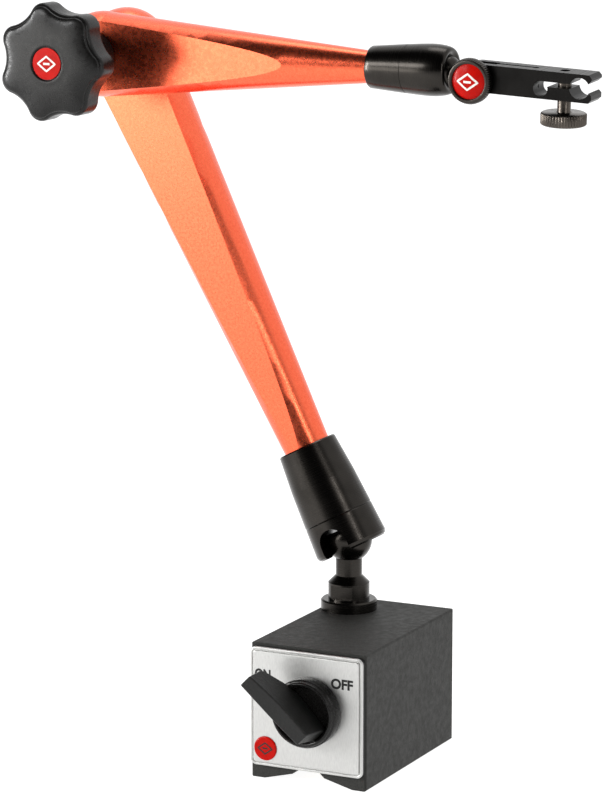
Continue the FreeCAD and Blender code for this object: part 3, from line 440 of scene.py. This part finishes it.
def make_star_knob():
    """Seven-lobed knob: domed face, broad soft edges, a recess for its badge and a hub behind."""
    count, turned = 7 * 44, math.radians(KNOB_ANGLE)
    axis = Vector(JOINTS["star_knob_turn"]["pos_m"])
    centre = Vector((axis.x, KNOB_FACE * MM, axis.z))

    def star(inset, depth, share=1.0, circle=0.0):
        """The outline drawn in by inset, or a blend of it with a circle."""
        points = []
        for i in range(count):
            angle = 2 * math.pi * i / count
            r = share * (star_radius(angle - turned) - inset) + (1 - share) * circle
            points.append((r * math.cos(angle), r * math.sin(angle), -depth))
        return points

    rings = [ring(10.2, -36.9, count), ring(11.0, -15.0, count), star(4.0, 14.2), star(2.2, 13.9)]
    back_roll, back_depth = 2.2, 11.7
    for i in range(1, 9):
        angle = math.radians(11.25 * i)
        rings.append(star(back_roll - back_roll * math.sin(angle),
                          back_depth + back_roll * math.cos(angle)))
    roll, dome, last = 2.1, 2.5, math.radians(66)
    edge_inset = roll - roll * math.cos(last)
    for i in range(11):
        angle = last * i / 10
        rings.append(star(roll - roll * math.cos(angle), dome + roll * (math.sin(last) - math.sin(angle))))
    crown, inner = 0.12, 9.5
    for i in range(1, 15):
        share = 1 - i / 14
        depth = crown + (dome - crown) * share ** 2
        rings.append(star(edge_inset, depth, share * share * (3 - 2 * share), inner + inner * share))
    badge_seat = ((7.9, -0.06), (7.3, -0.02), (6.95, -0.1), (6.7, -0.4), (6.6, -0.9))
    rings += [ring(radius, height, count) for radius, height in badge_seat]
    place = axes_frame(centre, X, Z, -Y)
    piece = finish_piece("star_knob_look", loft(rings), KNOB_PLASTIC, "star_knob",
                         place, 50)
    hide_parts("star_knob")


def stroke(bm, points, width, height, lift, closed=True):
    """A raised line through points in a plane, as a printed mark; lift(x, y) is the surface's height."""
    count = len(points)
    pairs = []
    for i, point in enumerate(points):
        before = points[(i - 1) % count] if closed or i else point
        after = points[(i + 1) % count] if closed or i < count - 1 else point
        along = (Vector(after) - Vector(before)).normalized()
        side = Vector((-along.y, along.x)) * width / 2
        sides = [Vector(point) + side, Vector(point) - side]
        pairs.append([bm.verts.new(Vector((p.x, p.y, lift(p.x, p.y) + height)) * MM) for p in sides]
                     + [bm.verts.new(Vector((p.x, p.y, lift(p.x, p.y))) * MM) for p in sides])
    for i in range(count if closed else count - 1):
        a, b = pairs[i], pairs[(i + 1) % count]
        bm.faces.new((a[0], b[0], b[1], a[1]))
        bm.faces.new((a[0], a[2], b[2], b[0]))
        bm.faces.new((a[1], b[1], b[3], a[3]))


def emblem(name, radius, place, body, material, lift=lambda x, y: 0.0):
    """A generic mark on a badge: a diamond outline round a small bar."""
    bm = bmesh.new()
    corners = [(0.70, 0.0), (0.0, 0.52), (-0.70, 0.0), (0.0, -0.52)]
    outline = []
    for (x0, y0), (x1, y1) in zip(corners, corners[1:] + corners[:1]):
        for i in range(8):
            outline.append((radius * (x0 + (x1 - x0) * i / 8), radius * (y0 + (y1 - y0) * i / 8)))
    stroke(bm, outline, radius * 0.13, 0.05, lift)
    bar = [(radius * (-0.26 + 0.52 * i / 8), 0.0) for i in range(9)]
    stroke(bm, bar, radius * 0.15, 0.05, lift, closed=False)
    return finish_piece(name, bm, material, body, place)


def badge_places():
    """Local frames on the badges of the plate and the star knob, with Z out of the face."""
    low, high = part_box("plate_badge")
    plate = axes_frame(Vector(((low.x + high.x) / 2, low.y, (low.z + high.z) / 2)), X, Z, -Y)
    low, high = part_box("knob_badge")
    knob = axes_frame(Vector(((low.x + high.x) / 2, low.y, (low.z + high.z) / 2)), X, Z, -Y)
    return plate, knob


def rounded_rectangle(inset, depth, width=49.5, bottom=5.7, height=48.6, corner=2.5, each=32):
    """The plate's outline, drawn in by inset, in the part's frame; each corner gets the same count."""
    radius = max(corner - inset, 0.4)
    half = width / 2 - inset - radius
    low, high = bottom + inset + radius, bottom + height - inset - radius
    points = []
    for cx, cz, start in ((half, high, 0), (-half, high, 90), (-half, low, 180), (half, low, 270)):
        for i in range(each):
            angle = math.radians(start + 90 * i / (each - 1))
            points.append((cx + radius * math.cos(angle), depth, cz + radius * math.sin(angle)))
    return points


def make_plate():
    """Switch plate: a thin flange, a raised brushed face, and a hole where the dial's shaft passes."""
    axis = Vector(JOINTS["magnet_switch"]["pos_m"]) / MM
    hole_radius, each = 6.6, 32
    hole = []
    for i in range(4 * each):
        angle = math.radians(90 * (i // each) + 90 * (i % each) / (each - 1))
        hole.append((axis.x + hole_radius * math.cos(angle), PLATE_FACE,
                     axis.z + hole_radius * math.sin(angle)))
    back = [(x, PLATE_BACK, z) for x, y, z in hole]
    # how far in from the outline, and where along Y: flange, groove, edge of the face, face
    edge = ((0, PLATE_BACK), (0, -43.95), (0.15, -44.14), (0.35, -44.22), (0.85, -44.22), (1.0, -44.12),
            (1.12, -43.8), (1.38, -43.8), (1.46, -44.3), (1.58, -44.52), (1.72, -44.59), (2.1, PLATE_FACE),
            (2.5, PLATE_FACE))
    rings = [rounded_rectangle(inset, y) for inset, y in edge] + [hole, back]
    bm = loft(rings, False, False)
    bmesh.ops.remove_doubles(bm, verts=bm.verts, dist=1e-7)
    piece = finish_piece("switch_plate_look", bm, PLATE, "base", None, 60)
    flatter = piece.modifiers.new("even_face", "WEIGHTED_NORMAL")
    flatter.keep_sharp = True
    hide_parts("switch_plate")


def lettering(name, text, left, right, low, high, face):
    """Printed capitals on the plate, between the given limits."""
    curve = bpy.data.curves.new(name, "FONT")
    curve.body = text
    curve.offset = 0.042
    curve.extrude = 0.01
    curve.resolution_u = 8
    holder = bpy.data.objects.new(name, curve)
    scene.collection.objects.link(holder)
    graph = bpy.context.evaluated_depsgraph_get()
    mesh = bpy.data.meshes.new_from_object(holder.evaluated_get(graph))
    bpy.data.objects.remove(holder)
    xs, ys = [v.co.x for v in mesh.vertices], [v.co.y for v in mesh.vertices]
    across = (right - left) / (max(xs) - min(xs))
    tall = (high - low) / (max(ys) - min(ys))
    for v in mesh.vertices:
        x, y, z = v.co
        proud = 0.04 if z > 0 else 0.02
        v.co = Vector((left + (x - min(xs)) * across, face - proud, low + (y - min(ys)) * tall)) * MM
    bm = bmesh.new()
    bm.from_mesh(mesh)
    finish_piece(name, bm, PRINT_BLACK, "base")


def make_dial():
    """Switch dial: a short cylinder with a stepped, rounded rim round a recessed floor."""
    axis = Vector(JOINTS["magnet_switch"]["pos_m"])
    place = axes_frame(Vector((axis.x, DIAL_FACE * MM, axis.z)), X, Z, -Y)
    profile = [(6.2, -7.3), (13.6, -7.3), (13.85, -7.15), (13.9, -6.8), (13.9, -2.3), (13.8, -2.0),
               (13.5, -1.85), (13.36, -1.7), (13.3, -1.45), (13.25, -0.85), (13.1, -0.42), (12.8, -0.12),
               (12.45, 0.0), (12.15, -0.02), (11.85, -0.14), (11.6, -0.38), (11.45, -0.7), (11.36, -1.05),
               (11.2, -1.3), (11.04, -1.6), (10.95, -2.1), (10.75, -2.35), (10.4, -2.42), (2.0, -2.42)]
    dial = loft([ring(radius, height, 160) for radius, height in profile])
    piece = finish_piece("switch_dial_look", dial, DIAL_PLASTIC, "switch", place, 55)
    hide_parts("switch_dial")


def make_lever():
    """Lever of the switch: a tapered bar with a sloping back and a raked heel, all edges softened."""
    low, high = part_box("switch_lever")
    axis = Vector(JOINTS["magnet_switch"]["pos_m"])
    angle = math.radians(LEVER_ANGLE)
    along = Vector((math.cos(angle), 0, -math.sin(angle)))
    place = axes_frame(Vector((axis.x, DIAL_FACE * MM, axis.z)), along, (-Y).cross(along), -Y)
    tall = DIAL_FACE - low.y / MM
    floor = -2.4
    # stations along the lever: distance from the axis, lower and upper height, half width below and above
    stations = ((-23.0, 6.6, tall, 3.3, 2.85), (-20.5, 4.6, tall - 0.75, 3.6, 3.1),
                (-13.6, 0.0, tall - 2.0, 4.0, 3.4), (-7.0, floor, tall - 3.0, 4.2, 3.6),
                (0.0, floor, tall - 3.7, 4.05, 3.45), (6.0, floor, tall - 4.3, 3.75, 3.2),
                (8.9, floor, tall - 4.6, 3.55, 3.0))
    rake = 2.0
    bm = bmesh.new()
    loops = []
    for at, bottom, top, wide, narrow in stations:
        foot = at + rake if at == stations[-1][0] else at
        corners = ((foot, -wide, bottom), (foot, wide, bottom), (at, narrow, top), (at, -narrow, top))
        loops.append([bm.verts.new(Vector(corner) * MM) for corner in corners])
    for one, two in zip(loops, loops[1:]):
        for i in range(4):
            j = (i + 1) % 4
            bm.faces.new((one[i], one[j], two[j], two[i]))
    bm.faces.new(loops[0])
    bm.faces.new(loops[-1])
    piece = finish_piece("switch_lever_look", bm, LEVER_PLASTIC, "switch", place, 20)
    round_edges(piece, 0.6)
    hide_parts("switch_lever")


def make_pivot_knob():
    """Thin knurled nut on the clamp's pivot, with a domed badge in its face."""
    axis = Vector(JOINTS["clamp_pivot"]["axis"])
    out = -axis if axis.y > 0 else axis
    up = Vector(JOINTS["thumbscrew_turn"]["axis"])
    up = up if up.z > 0 else -up
    right = up.cross(out)
    half_bar = 5.3
    centre = Vector(JOINTS["clamp_pivot"]["pos_m"]) + out * half_bar * MM
    place = axes_frame(centre, right, up, out)
    teeth = 64
    count = teeth * 6
    cut = knurl(teeth, 0.32)
    rings = [ring(2.6, 0.2, count), ring(8.3, 0.2, count),
             ring(8.62, 0.32, count, lambda a: 0.3 * cut(a)), ring(9.0, 0.75, count, cut),
             ring(9.0, 3.55, count, cut), ring(8.66, 4.0, count, lambda a: 0.5 * cut(a))]
    face = ((8.45, 4.2), (8.2, 4.33), (7.9, 4.4), (7.35, 4.4), (7.1, 4.32), (6.95, 4.1), (6.9, 3.62),
            (6.0, 3.62))
    rings += [ring(radius, height, count) for radius, height in face]
    piece = finish_piece("pivot_knob_look", loft(rings), STEEL_KNOB, "pivot_knob",
                         place, 40)
    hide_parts("pivot_knob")
    badge_radius, badge_floor, badge_rise = 6.8, 3.62, 1.38

    def dome(x, y):
        return badge_floor + badge_rise * (1 - (x * x + y * y) / badge_radius ** 2)
    rings = [ring(6.85, 3.63, 96)]
    rings += [ring(r, dome(r, 0), 96) for r in (badge_radius, 6.4, 5.8, 5.0, 4.0, 3.0, 2.0, 1.0, 0.3)]
    badge = finish_piece("pivot_badge_look", loft(rings), RED, "pivot_knob", place, 70)
    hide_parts("pivot_badge")
    emblem("pivot_emblem", 6.0, place, "pivot_knob", PRINT_WHITE, dome)


def make_thumbscrew():
    """Clamp screw with a straight-knurled head below the bar."""
    low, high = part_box("clamp_thumbscrew")
    up = Vector(JOINTS["thumbscrew_turn"]["axis"])
    up = up if up.z > 0 else -up
    side = Vector(JOINTS["clamp_pivot"]["axis"])
    side = side if side.y > 0 else -side
    centre = Vector(JOINTS["thumbscrew_turn"]["pos_m"])
    # local Z 0 is at the middle of the CAD screw's box, measured along the screw's axis
    middle = (low + high) / 2
    reach = (middle - centre).dot(up) / MM
    place = axes_frame(centre + up * reach * MM, side.cross(up), side, up)
    below, above = 15.4, 4.7
    half = 0.5 * (below + above)
    teeth = 48
    count = teeth * 8
    cut = knurl(teeth, 0.36)
    head = -half
    rings = [ring(1.2, head, count), ring(8.2, head, count),
             ring(8.6, head + 0.15, count, lambda a: 0.4 * cut(a)), ring(9.0, head + 0.55, count, cut),
             ring(9.0, head + 4.3, count, cut), ring(8.6, head + 4.75, count, lambda a: 0.4 * cut(a))]
    shank = ((8.2, head + 4.9), (3.4, head + 4.9), (2.8, head + 5.1), (2.65, head + 5.5),
             (2.65, half - 3.6), (1.9, half - 3.4), (1.9, half - 0.3), (1.6, half))
    rings += [ring(radius, height, count) for radius, height in shank]
    piece = finish_piece("thumbscrew_look", loft(rings), STEEL_THUMB, "thumbscrew",
                         place, 40)
    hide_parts("clamp_thumbscrew")


def make_upper_sleeve():
    """Turned sleeve of the upper ball joint: one smooth barrel with a fine seam and an open mouth."""
    ball = Vector(JOINTS["upper_tilt"]["pos_m"])
    place = axes_frame(ball, Y, Z, X)
    profile = [(6.6, -31.5), (7.7, -31.55), (8.15, -31.3), (8.42, -30.9), (8.7, -27.5), (9.05, -23.5),
               (9.4, -19.5), (9.63, -16.4), (9.66, -15.75), (9.52, -15.68), (9.52, -15.5), (9.68, -15.42),
               (9.85, -13.2), (10.05, -10.5), (10.2, -7.8), (10.28, -5.4), (10.24, -3.4), (10.06, -1.6),
               (9.8, 0.1), (9.45, 1.5), (9.15, 2.2), (8.75, 2.7), (8.3, 2.9), (7.5, 2.9), (7.3, 2.8),
               (5.3, 1.7), (5.2, 1.5), (5.2, 0.0)]
    sleeve = loft([ring(radius, height, 160) for radius, height in profile], False, False)
    piece = finish_piece("upper_sleeve_look", sleeve, STEEL_X, "upper_sleeve", place, 38)
    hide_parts("upper_sleeve")


make_star_knob()
make_plate()
lettering("label_on", "ON", -22.4, -15.4, 41.5, 45.6, PLATE_FACE)
lettering("label_off", "OFF", 11.2, 20.8, 41.2, 45.5, PLATE_FACE)
make_dial()
make_lever()
make_pivot_knob()
make_thumbscrew()
make_upper_sleeve()
PLATE_BADGE, KNOB_BADGE = badge_places()
emblem("plate_emblem", 4.4, PLATE_BADGE, "base", PRINT_BLACK)
emblem("knob_emblem", 5.6, KNOB_BADGE, "star_knob", PRINT_WHITE)
round_edges(frame["nodes"]["clamp_bar"], 0.35)
